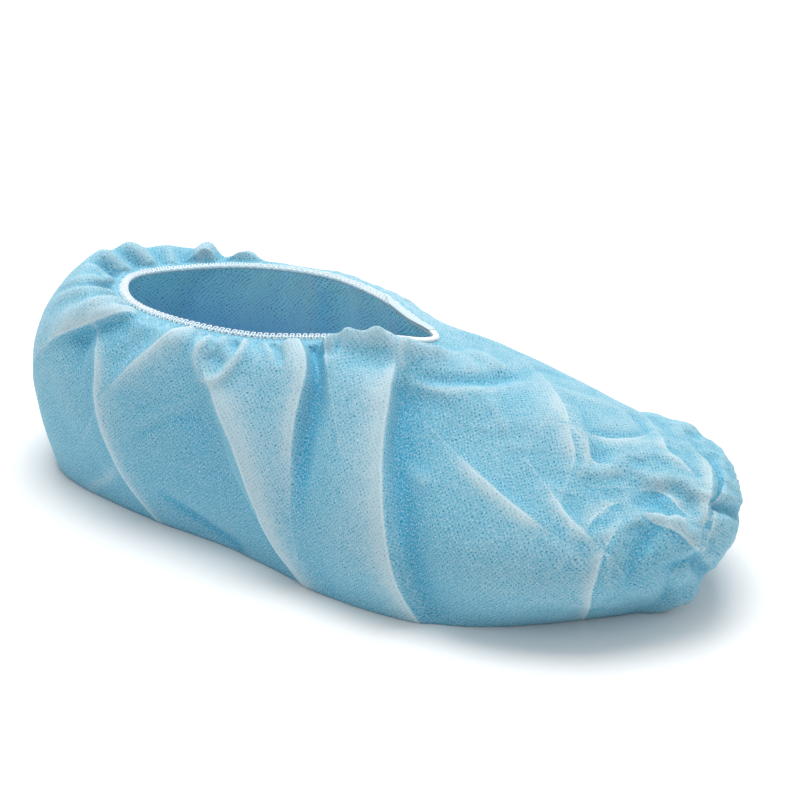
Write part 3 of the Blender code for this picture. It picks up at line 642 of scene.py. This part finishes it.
def clothGrid():
    turns = evenTurns(cloth["meridians"], cloth["dense"])
    counts = (cloth["crownRings"], cloth["bellyRings"], cloth["floorRings"])
    levels = [start + step / rings for start, rings in enumerate(counts) for step in range(rings)]
    levels = np.array(levels + [3.0])
    levelGrid, turnGrid = np.meshgrid(levels, turns, indexing="ij")
    flatTurns = turnGrid.ravel()
    flatLevels = levelGrid.ravel()
    places = formPoints(flatTurns, flatLevels)
    shape = levelGrid.shape + (3,)
    normals = ringNormals(places.reshape(shape)).reshape(-1, 3)
    release = smoothStep(*cloth["release"], flatLevels)
    hem = 1 - cloth["hemTight"] * np.clip(flatLevels - 2, 0.0, 1.0) ** 2
    push = foldPush(places) * release * hem
    push += gatherPush(flatTurns, places)
    toeMask = hump(flatTurns, cloth["toeTurn"], cloth["toeWidth"], 3)
    toeMask = toeMask * smoothStep(*cloth["toeStart"], flatLevels)
    toeMask = toeMask * (1 - smoothStep(*cloth["toeEnd"], flatLevels))
    doublingAndPaintedLight, edge, clear = pleatMarks(places)
    doublingAndPaintedLight = cloth["paintedPleatScale"] * doublingAndPaintedLight
    # painted light on the upper cloth, painted shade toward the floor and painted shade on the toe
    paintedShadeLow = smoothStep(*cloth["paintedShadeLevels"], flatLevels)
    doublingAndPaintedLight += cloth["paintedTopLight"] - (cloth["paintedTopLight"] + cloth["paintedLowShade"]) * paintedShadeLow
    doublingAndPaintedLight -= cloth["toeShade"] * toeMask
    normals[flatLevels >= 3, 2] = 0.0
    pushed = places + normals * push[:, None]
    pushed[:, 2] = np.maximum(pushed[:, 2], 0.0)
    rim, out, face = edgeFrame(turns)
    collar = [rim + out * form["collar"] * step / cloth["collarRings"]
              for step in range(cloth["collarRings"])]
    grid = pushed.reshape(shape)
    grid = settleCloth(grid, turns, levels)
    creases = crumplePush(places, toeMask * hem, crumple["toeSize"])
    creases += crumplePush(places, crumple["crushShare"] * release * hem, crumple["crushSize"])
    grid = grid + ringNormals(grid) * creases.reshape(levelGrid.shape)[:, :, None]
    grid[:, :, 2] = np.maximum(grid[:, :, 2], 0.0)
    grid = np.concatenate((np.array(collar), grid))
    atCollar = np.zeros(cloth["collarRings"] * len(turns))
    marks = [np.concatenate((atCollar, mark)) for mark in (doublingAndPaintedLight, edge, clear)]
    return grid + np.array(form["shift"]), marks


def gridFaces(rowCount, columns, closedRows, closedColumns):
    # four-sided faces between neighbouring rows and columns of points
    upper = np.arange(rowCount if closedRows else rowCount - 1)[:, None]
    column = np.arange(columns if closedColumns else columns - 1)[None, :]
    lower = (upper + 1) % rowCount
    following = (column + 1) % columns
    corners = (upper * columns + column, lower * columns + column,
               lower * columns + following, upper * columns + following)
    return np.stack(corners, axis=-1).reshape(-1, 4)


def newPiece(name, points, faces):
    mesh = bpy.data.meshes.new(name)
    mesh.from_pydata(points, [], faces)
    mesh.shade_smooth()
    piece = bpy.data.objects.new(name, mesh)
    scene.collection.objects.link(piece)
    return piece


def makeMesh(name, grid, closed=True, soleRings=0):
    rows = list(grid)
    if soleRings:
        # the sole runs in to a narrow slit along its own middle line
        edge = rows[-1]
        half = form["soleLength"] * cloth["slitHalf"]
        middleX = np.clip(edge[:, 0], -half + form["soleCentreX"], half + form["soleCentreX"])
        onMiddle, onEdge = cloth["slitAlong"]
        slit = np.stack((middleX * onMiddle + edge[:, 0] * onEdge, edge[:, 1] * cloth["slitAcross"],
                         np.zeros(len(edge))), axis=1)
        for ring in range(soleRings):
            rows.append(edge + (slit - edge) * (ring + 1) / soleRings)
    columns = len(rows[0])
    faces = gridFaces(len(rows), columns, False, closed).tolist()
    if soleRings:
        start = (len(rows) - 1) * columns
        faces.append([start + index for index in range(columns - 1, -1, -1)])
    return newPiece(name, np.concatenate(rows).tolist(), faces)


def addAttribute(piece, name, values):
    layer = piece.data.attributes.new(name, "FLOAT", "POINT")
    full = np.zeros(len(piece.data.vertices), dtype=np.float32)
    full[:len(values)] = values
    layer.data.foreach_set("value", full)


def reliefValues(grid):
    # how far each place stands above (1) or below (0) the cloth around it
    normals = ringNormals(evened(grid, cloth["reliefBase"]))
    reliefForPaintedShade = np.zeros(grid.shape[:2])
    for passes, scale, weight in cloth["reliefScales"]:
        height = np.sum((grid - evened(grid, passes)) * normals, axis=2) / scale
        reliefForPaintedShade += weight * np.tanh(height)
    return 0.5 + 0.5 * np.clip(reliefForPaintedShade, -1.0, 1.0)


def addNode(tree, kind, **settings):
    node = tree.nodes.new(kind)
    for key, value in settings.items():
        setattr(node, key, value)
    return node


def attributeNode(tree, name):
    return addNode(tree, "ShaderNodeAttribute", attribute_name=name).outputs["Fac"]


def mathNode(tree, operation, first, second=None, third=None, clamp=False):
    node = addNode(tree, "ShaderNodeMath", operation=operation, use_clamp=clamp)
    for index, value in enumerate((first, second, third)):
        if isinstance(value, float):
            node.inputs[index].default_value = value
        elif value is not None:
            tree.links.new(value, node.inputs[index])
    return node.outputs[0]


def rangeNode(tree, value, source, result=(0.0, 1.0), kind="SMOOTHSTEP"):
    # carries a value from one range into another and holds it there
    node = addNode(tree, "ShaderNodeMapRange", interpolation_type=kind)
    for name, number in zip(("From Min", "From Max", "To Min", "To Max"), (*source, *result)):
        node.inputs[name].default_value = number
    tree.links.new(value, node.inputs["Value"])
    return node.outputs["Result"]


def noiseNode(tree, vector, scale, detail, roughness=0.5):
    node = addNode(tree, "ShaderNodeTexNoise")
    for name, number in (("Scale", scale), ("Detail", detail), ("Roughness", roughness)):
        node.inputs[name].default_value = number
    tree.links.new(vector, node.inputs["Vector"])
    return node.outputs


def scaleNode(tree, vector, factor):
    node = addNode(tree, "ShaderNodeVectorMath", operation="SCALE")
    tree.links.new(vector, node.inputs[0])
    tree.links.new(factor, node.inputs["Scale"])
    return node.outputs[0]


def mixNode(tree, factor, first, second):
    # a colour between two others, each given as a socket or as a fixed colour
    mix = addNode(tree, "ShaderNodeMix", data_type="RGBA")
    sockets = {item.identifier: item for item in mix.inputs}
    tree.links.new(factor, sockets["Factor_Float"])
    for key, color in (("A_Color", first), ("B_Color", second)):
        if isinstance(color, tuple):
            sockets[key].default_value = (*color, 1.0)
        else:
            tree.links.new(color, sockets[key])
    return {item.identifier: item for item in mix.outputs}["Result_Color"]


weave = {
    "drifts": ((0.035, 10.0), (0.33, 2.7)), "driftDetail": 1.0, "point": (0.10, 0.85),
    "uneven": (0.22, 2.0), "unevenRange": (0.36, 0.62), "depthRange": (0.10, 1.0),
    "cloud": (0.10, 4.0, 0.60), "fibre": (0.45, 3.0, 0.65),
}


def makeWeaveGroup():
    # bonded nonwoven: staggered rows of small pressed points, uneven in depth, in a fibrous web
    group = bpy.data.node_groups.new("bondedWeb", "ShaderNodeTree")
    face = group.interface
    face.new_socket("Vector", in_out="INPUT", socket_type="NodeSocketVector")
    for name in ("Pitch", "Wander"):
        face.new_socket(name, in_out="INPUT", socket_type="NodeSocketFloat")
    for name in ("Dots", "Cloud", "Fibre", "Height"):
        face.new_socket(name, in_out="OUTPUT", socket_type="NodeSocketFloat")
    links = group.links
    start = addNode(group, "NodeGroupInput").outputs
    end = addNode(group, "NodeGroupOutput").inputs
    scaled = scaleNode(group, start["Vector"], start["Pitch"])
    # the rows bend a little, and each point sits slightly off its place
    moved = scaled
    for scale, reach in weave["drifts"]:
        wobble = noiseNode(group, scaled, scale, weave["driftDetail"])["Color"]
        drift = addNode(group, "ShaderNodeVectorMath", operation="MULTIPLY_ADD")
        drift.inputs[1].default_value = (reach, reach, reach)
        links.new(scaleNode(group, wobble, start["Wander"]), drift.inputs[0])
        links.new(moved, drift.inputs[2])
        moved = drift.outputs[0]
    parts = addNode(group, "ShaderNodeSeparateXYZ")
    links.new(moved, parts.inputs[0])
    waves = [mathNode(group, "SINE", parts.outputs[side]) for side in ("X", "Y")]
    points = rangeNode(group, mathNode(group, "MULTIPLY", *waves), weave["point"])
    uneven = noiseNode(group, scaled, *weave["uneven"])["Fac"]
    depth = rangeNode(group, uneven, weave["unevenRange"], weave["depthRange"], "LINEAR")
    dots = mathNode(group, "MULTIPLY", points, depth)
    fibre = noiseNode(group, scaled, *weave["fibre"])["Fac"]
    links.new(dots, end["Dots"])
    links.new(noiseNode(group, scaled, *weave["cloud"])["Fac"], end["Cloud"])
    links.new(fibre, end["Fibre"])
    links.new(mathNode(group, "MULTIPLY_ADD", dots, -1.0, fibre), end["Height"])
    return group


bondedWeb = makeWeaveGroup()

# what the cloth's two faces share, then each one's own colours and shares; the inside's paler
# colours are painted light, for the light that comes through the cloth
webFinish = {
    "pitch": 3300.0, "cloud": (0.50, -0.25), "line": (0.2, 0.8), "side": (-0.25, 0.35),
    "fade": -0.55, "threadRise": (3.6, -1.75), "rougher": 0.08, "smoother": 0.14,
    "bumpDistance": 0.00012, "sheenRoughness": 0.5, "specular": 0.25,
    "throughRadius": (0.7, 1.0, 1.2), "throughScale": 0.0006,
}
clothFinish = {
    # the ridge colour is a painted highlight and the deepest colour is painted shade
    "ridge": (0.41, 0.562, 0.620), "middle": (0.155, 0.43, 0.56), "valley": (0.042, 0.345, 0.520),
    "dot": (0.010, 0.195, 0.345), "dotShare": 1.20, "thread": (0.58, 0.693, 0.733),
    "threadShare": 1.00, "roughness": 0.66, "sheen": 0.06, "bump": 0.60, "through": 0.60,
    "wander": 1.0, "paintedEdgeHighlight": 0.50, "paintedPanelLight": 0.26,
}
paintedLitInsideFinish = {
    "ridge": (0.72, 0.91, 0.98), "middle": (0.64, 0.87, 0.97), "valley": (0.53, 0.80, 0.94),
    "dot": (0.03, 0.15, 0.28), "dotShare": 1.20, "thread": (0.68, 0.85, 0.92),
    "threadShare": 0.30, "roughness": 0.75, "sheen": 0.0, "bump": 0.40, "through": 0.75,
    "wander": 1.2, "paintedEdgeHighlight": 0.15, "paintedPanelLight": 0.06,
    "deep": (0.40, 0.62, 0.80), "deepRange": (0.20, 0.75),
}


def newMaterial(name, values):
    # a material with these values on its shader's own sockets
    material = bpy.data.materials.new(name)
    material.use_nodes = True
    shader = material.node_tree.nodes["Principled BSDF"]
    for socket, value in values.items():
        shader.inputs[socket].default_value = value
    return material


def clothMaterial(name, finish):
    web = webFinish
    material = newMaterial(name, {
        "Metallic": 0.0, "Specular IOR Level": web["specular"],
        "Sheen Weight": finish["sheen"], "Sheen Roughness": web["sheenRoughness"],
        "Subsurface Weight": finish["through"], "Subsurface Radius": web["throughRadius"],
        "Subsurface Scale": web["throughScale"],
    })
    tree = material.node_tree
    links = tree.links
    shader = tree.nodes["Principled BSDF"].inputs
    uv = addNode(tree, "ShaderNodeUVMap", uv_map="clothUv")
    group = addNode(tree, "ShaderNodeGroup", node_tree=bondedWeb)
    group.inputs["Pitch"].default_value = web["pitch"]
    group.inputs["Wander"].default_value = finish["wander"]
    links.new(uv.outputs["UV"], group.inputs["Vector"])
    bonded = group.outputs
    clouded = mathNode(tree, "MULTIPLY_ADD", bonded["Cloud"], *web["cloud"])
    # a turned edge: a thin line of painted highlight, paler cloth on one side, partly painted
    # light, and painted shade on the other
    edge = attributeNode(tree, "pleatEdge")
    clear = attributeNode(tree, "pleatClear")
    line = rangeNode(tree, mathNode(tree, "ABSOLUTE", edge), web["line"], (finish["paintedEdgeHighlight"], 0.0))
    line = mathNode(tree, "MULTIPLY", line, clear)
    side = rangeNode(tree, edge, web["side"], (-finish["paintedPanelLight"], finish["paintedPanelLight"]))
    shaped = mathNode(tree, "MULTIPLY_ADD", side, clear, attributeNode(tree, "reliefForPaintedShade"))
    share = mathNode(tree, "ADD", shaped, clouded, clamp=True)
    # painted shade deep in the folds to middling, then middling to the painted highlight on the
    # ridges
    lowShare = mathNode(tree, "MULTIPLY", share, 2.0, clamp=True)
    highShare = mathNode(tree, "MULTIPLY_ADD", share, 2.0, -1.0, clamp=True)
    color = mixNode(tree, lowShare, finish["valley"], finish["middle"])
    color = mixNode(tree, highShare, color, finish["ridge"])
    # points show most in the painted shade of the folds and fade under the painted highlight on the
    # ridges
    fade = mathNode(tree, "MULTIPLY_ADD", highShare, web["fade"], 1.0)
    dotDepth = mathNode(tree, "MULTIPLY", bonded["Dots"], finish["dotShare"])
    dotShare = mathNode(tree, "MULTIPLY", dotDepth, fade)
    color = mixNode(tree, dotShare, color, finish["dot"])
    threads = mathNode(tree, "MULTIPLY_ADD", bonded["Fibre"], *web["threadRise"], clamp=True)
    threads = mathNode(tree, "MULTIPLY_ADD", threads, finish["threadShare"], line, clamp=True)
    color = mixNode(tree, threads, color, finish["thread"])
    if "deep" in finish:
        # less light comes back from low down inside the cover
        sunk = rangeNode(tree, attributeNode(tree, "tall"), finish["deepRange"], (1.0, 0.0))
        color = mixNode(tree, sunk, color, finish["deep"])
    links.new(color, shader["Base Color"])
    rough = (finish["roughness"] + web["rougher"], finish["roughness"] - web["smoother"])
    links.new(rangeNode(tree, bonded["Dots"], (0.0, 1.0), rough), shader["Roughness"])
    bump = addNode(tree, "ShaderNodeBump")
    bump.inputs["Strength"].default_value = finish["bump"]
    bump.inputs["Distance"].default_value = web["bumpDistance"]
    links.new(bonded["Height"], bump.inputs["Height"])
    links.new(bump.outputs["Normal"], shader["Normal"])
    return material


def readValues(items, name, size=1, kind=float):
    values = np.empty(len(items) * size, dtype=kind)
    items.foreach_get(name, values)
    return values.reshape(-1, size) if size > 1 else values


def addClothUv(piece):
    # lays the lattice flat on each face, along the side of the cover that the face looks to
    mesh = piece.data
    normals = np.abs(readValues(mesh.polygons, "normal", 3)) * np.array(cloth["uvSides"])
    cornerCounts = readValues(mesh.polygons, "loop_total", 1, np.int32)
    side = np.repeat(np.argmax(normals, axis=1), cornerCounts)
    at = readValues(mesh.vertices, "co", 3)[readValues(mesh.loops, "vertex_index", 1, np.int32)]
    across = np.where(side == 0, at[:, 1], at[:, 0])
    upward = np.where(side == 2, at[:, 1], at[:, 2])
    layer = mesh.uv_layers.new(name="clothUv")
    layer.data.foreach_set("uv", np.stack((across, upward), axis=1).ravel())


def makeCloth():
    grid, (doublingAndPaintedLight, edge, clear) = clothGrid()
    print("cloth grid", grid.shape)
    piece = makeMesh("coverCloth", grid, True, cloth["soleRings"])
    # painted highlight on the ridges and painted shade in the hollows, from how far each place
    # stands out
    reliefForPaintedShade = reliefValues(grid).ravel()
    shaded = 0.5 + cloth["reliefForPaintedShade"] * (reliefForPaintedShade - 0.5) + doublingAndPaintedLight
    addAttribute(piece, "reliefForPaintedShade", np.clip(shaded, 0.0, 1.0))
    addAttribute(piece, "pleatEdge", edge)
    addAttribute(piece, "pleatClear", clear)
    addAttribute(piece, "tall", grid[:, :, 2].ravel() / form["openingHeight"])
    addClothUv(piece)
    for name, finish in (("bondedBlueCloth", clothFinish), ("bondedBlueInsidePaintedLight", paintedLitInsideFinish)):
        piece.data.materials.append(clothMaterial(name, finish))
    wall = piece.modifiers.new("wall", "SOLIDIFY")
    wall.thickness = cloth["thickness"]
    wall.offset = -1.0
    wall.material_offset = 1
    wall.use_rim = True
    return piece


coverCloth = makeCloth()
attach(coverCloth, "root")
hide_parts("cover_body")
print("cloth made")

band = {
    "stations": 720, "thickness": 0.0004, "clearance": 0.00015, "waves": 120, "wave": 0.00014,
    "color": (0.47, 0.65, 0.74), "roughness": 0.75,
}
# how wide the elastic lies, in metres, at turns round the opening
bandTurns = (0.00, 0.12, 0.20, 0.26, 0.44, 0.50, 0.53, 0.57, 0.66, 0.76, 0.90, 1.00)
bandWidths = (0.0023, 0.0023, 0.0018, 0.0013, 0.0010, 0.0010, 0.0018, 0.0026, 0.0025, 0.0021,
              0.0022, 0.0023)
fibreFinish = {"sheen": 0.05, "through": 0.4, "throughScale": 0.0006}


def bandMaterial(name, color, roughness):
    return newMaterial(name, {
        "Base Color": (*color, 1.0), "Roughness": roughness, "Sheen Weight": fibreFinish["sheen"],
        "Subsurface Weight": fibreFinish["through"], "Subsurface Radius": (1.0, 1.0, 1.0),
        "Subsurface Scale": fibreFinish["throughScale"],
    })


def closedTube(name, rings):
    # a tube of closed sections that also closes on itself lengthways; rings by stations by 3
    faces = gridFaces(*rings.shape[:2], True, True)[:, (0, 3, 2, 1)]
    piece = newPiece(name, rings.reshape(-1, 3).tolist(), faces.tolist())
    joined = bmesh.new()
    joined.from_mesh(piece.data)
    bmesh.ops.recalc_face_normals(joined, faces=joined.faces[:])
    joined.to_mesh(piece.data)
    joined.free()
    return piece


def makeBand():
    # the soft elastic, folded over the cloth's edge and drawn in by its stitches
    turns = evenTurns(band["stations"])
    rim, out, face = edgeFrame(turns)
    gap = band["clearance"]
    far = gap + band["thickness"]
    wall = cloth["thickness"]
    leg = np.interp(turns, bandTurns, bandWidths)
    # how far out along the leg, in widths and then metres, and how high above the cloth
    profile = (
        (1.0, 0.0, gap), (1.0, -0.0001, far * 0.7), (0.85, 0.0, far), (0.6, 0.0, far * 1.05),
        (0.2, 0.0, far), (0.0, -gap * 0.5, far * 0.85), (0.0, -far, far * 0.2),
        (0.0, -far, -wall - gap * 0.5), (0.0, -gap * 0.5, -wall - far * 0.85),
        (0.3, 0.0, -wall - far), (0.85, 0.0, -wall - far), (1.0, 0.0, -wall - gap),
        (0.5, 0.0, -wall - gap), (0.0, -gap, -wall * 0.5), (0.5, 0.0, gap),
    )
    phase = np.arange(len(turns)) * 2 * math.pi / (band["stations"] / band["waves"])
    rows = []
    for share, extra, height in profile:
        wave = band["wave"] * np.sin(phase) * (1 if height > 0 else -1)
        way = leg * share + extra
        row = rim + out * way[:, None] + face * (height + wave)[:, None]
        rows.append(row + np.array(form["shift"]))
    piece = closedTube("elasticBand", np.array(rows))
    piece.data.materials.append(bandMaterial("whiteElastic", band["color"], band["roughness"]))
    return piece


elasticBand = makeBand()
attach(elasticBand, "root")
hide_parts("elastic_band")
print("band made")

stitch = {
    "count": 176, "steps": 14, "radius": 0.00023, "sides": 5, "edge": -0.00062, "bite": 0.0008,
    "lean": 0.16, "leanSpread": (0.7, 1.3), "reachSpread": (0.88, 1.08), "clear": 1.35,
    "swell": 0.00022, "swellSpan": 1.2, "sunk": 0.00012, "dip": (0.80, 1.0),
    "crosswise": (0.13, 0.21, 0.97), "color": (0.92, 0.95, 0.97), "roughness": 0.6, "seed": 11,
}


def threadTube(name, line, radius, sides):
    # a round thread along a closed line
    along = unit(np.roll(line, -1, axis=0) - np.roll(line, 1, axis=0))
    side = unit(np.cross(along, np.array(stitch["crosswise"])))
    upward = np.cross(side, along)
    rings = []
    for step in range(sides):
        angle = 2 * math.pi * step / sides
        rings.append(line + radius * (side * math.cos(angle) + upward * math.sin(angle)))
    return closedTube(name, np.array(rings))


def makeStitches():
    # overlock thread: out over the elastic, round a bite of cloth beyond it and back to the edge
    draw = np.random.default_rng(stitch["seed"])
    count = stitch["count"]
    steps = stitch["steps"]
    ends = np.concatenate((evenTurns(count), (1.0,)))
    share = np.arange(steps) / steps
    wayOut = 0.5 - 0.5 * np.cos(2 * math.pi * share)   # 0 at the edge, 1 at the bite
    lean = stitch["lean"] * np.sin(4 * math.pi * share)
    top = band["clearance"] + band["thickness"] * stitch["clear"] + stitch["radius"]
    swell = stitch["swell"] * np.sin(math.pi * np.clip(wayOut * stitch["swellSpan"], 0.0, 1.0))
    height = top + swell - (top - stitch["sunk"]) * smoothStep(*stitch["dip"], wayOut)
    turns = []
    ways = []
    for index in range(count):
        span = ends[index + 1] - ends[index]
        turns.append(ends[index] + span * (share + lean * draw.uniform(*stitch["leanSpread"])))
        reach = np.interp(ends[index], bandTurns, bandWidths) + stitch["bite"]
        reach = reach * draw.uniform(*stitch["reachSpread"]) - stitch["edge"]
        ways.append(stitch["edge"] + reach * wayOut)
    rim, out, face = edgeFrame(np.concatenate(turns))
    line = rim + out * np.concatenate(ways)[:, None] + face * np.tile(height, count)[:, None]
    line = line + np.array(form["shift"])
    piece = threadTube("edgeStitches", line, stitch["radius"], stitch["sides"])
    piece.data.materials.append(bandMaterial("whiteThread", stitch["color"], stitch["roughness"]))
    return piece


edgeStitches = makeStitches()
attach(edgeStitches, "root")
print("stitches made")

lap = {
    "startTurn": 0.532, "endTurn": 0.655, "width": 0.0030, "thickness": 0.0004, "stations": 90,
    "rows": 7, "lift": 0.0011, "cut": 0.020, "over": 1.5, "bow": 0.00012,
    "color": (0.50, 0.62, 0.67), "roughness": 0.7,
}


def makeLap():
    # the flat loose end of the elastic, cut off at a slant
    rows = []
    for step in range(lap["rows"]):
        part = step / (lap["rows"] - 1)
        endTurn = lap["endTurn"] - lap["cut"] * (1 - part)
        rim, out, face = edgeFrame(np.linspace(lap["startTurn"], endTurn, lap["stations"]))
        way = -band["clearance"] - band["thickness"] * lap["over"] + lap["width"] * part
        bow = lap["bow"] * math.sin(math.pi * part)
        rows.append(rim + out * way + face * (lap["lift"] + bow) + np.array(form["shift"]))
    piece = makeMesh("bandLap", np.array(rows), False)
    solid = piece.modifiers.new("thickness", "SOLIDIFY")
    solid.thickness = lap["thickness"]
    solid.offset = 1.0
    piece.data.materials.append(bandMaterial("whiteTape", lap["color"], lap["roughness"]))
    return piece


bandLap = makeLap()
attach(bandLap, "root")
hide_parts("band_lap")
print("lap made")

studio = {
    "azimuth": 31.5, "elevation": 27.5, "distance": 1.470, "target": (0.0005, 0.0043, 0.040),
    "focalPixels": 3527.0, "pictureWidth": 800, "sensor": 36.0, "targetPixel": (377.8, 429.2),
    "floorSize": 8.0, "floorDrop": 0.0002, "floorColor": (0.90, 0.90, 0.90),
    "floorRoughness": 0.9, "floorSpecular": 0.1,
    "worldColor": (1.0, 1.0, 1.0), "worldStrength": 0.68,
    "keyPlace": (-0.20, 0.30, 1.5), "keySize": 1.2, "keyPower": 22.5,
}


def aimed(place, target):
    back = (Vector(place) - Vector(target)).normalized()
    return back.to_track_quat("Z", "Y").to_euler()


def makeStudio():
    angle = math.radians(studio["azimuth"])
    lift = math.radians(studio["elevation"])
    back = Vector((math.sin(angle) * math.cos(lift), -math.cos(angle) * math.cos(lift),
                   math.sin(lift)))
    right = Vector((math.cos(angle), math.sin(angle), 0.0))
    upward = back.cross(right)
    lens = bpy.data.cameras.new("camera")
    camera = bpy.data.objects.new("camera", lens)
    scene.collection.objects.link(camera)
    width = studio["pictureWidth"]
    lens.sensor_width = studio["sensor"]
    lens.lens = studio["focalPixels"] / width * studio["sensor"]
    lens.shift_x = (width / 2 - studio["targetPixel"][0]) / width
    lens.shift_y = (studio["targetPixel"][1] - width / 2) / width
    pose = Matrix((right, upward, back)).transposed().to_4x4()
    pose.translation = Vector(studio["target"]) + back * studio["distance"]
    camera.matrix_world = pose
    scene.camera = camera

    half = studio["floorSize"] / 2
    corners = [(-half, -half, 0), (half, -half, 0), (half, half, 0), (-half, half, 0)]
    floor = newPiece("floor", corners, [(0, 1, 2, 3)])
    floor.location.z = -studio["floorDrop"]
    floor.data.materials.append(newMaterial("paleFloor", {
        "Base Color": (*studio["floorColor"], 1.0), "Roughness": studio["floorRoughness"],
        "Specular IOR Level": studio["floorSpecular"],
    }))

    world = bpy.data.worlds.new("studio")
    world.use_nodes = True
    background = world.node_tree.nodes["Background"]
    background.inputs["Color"].default_value = (*studio["worldColor"], 1.0)
    background.inputs["Strength"].default_value = studio["worldStrength"]
    scene.world = world

    key = bpy.data.lights.new("key", "AREA")
    key.size = studio["keySize"]
    key.energy = studio["keyPower"]
    keyLight = bpy.data.objects.new("key", key)
    keyLight.location = studio["keyPlace"]
    keyLight.rotation_euler = aimed(studio["keyPlace"], studio["target"])
    scene.collection.objects.link(keyLight)
    scene.view_settings.view_transform = "Standard"


makeStudio()
print("studio made")
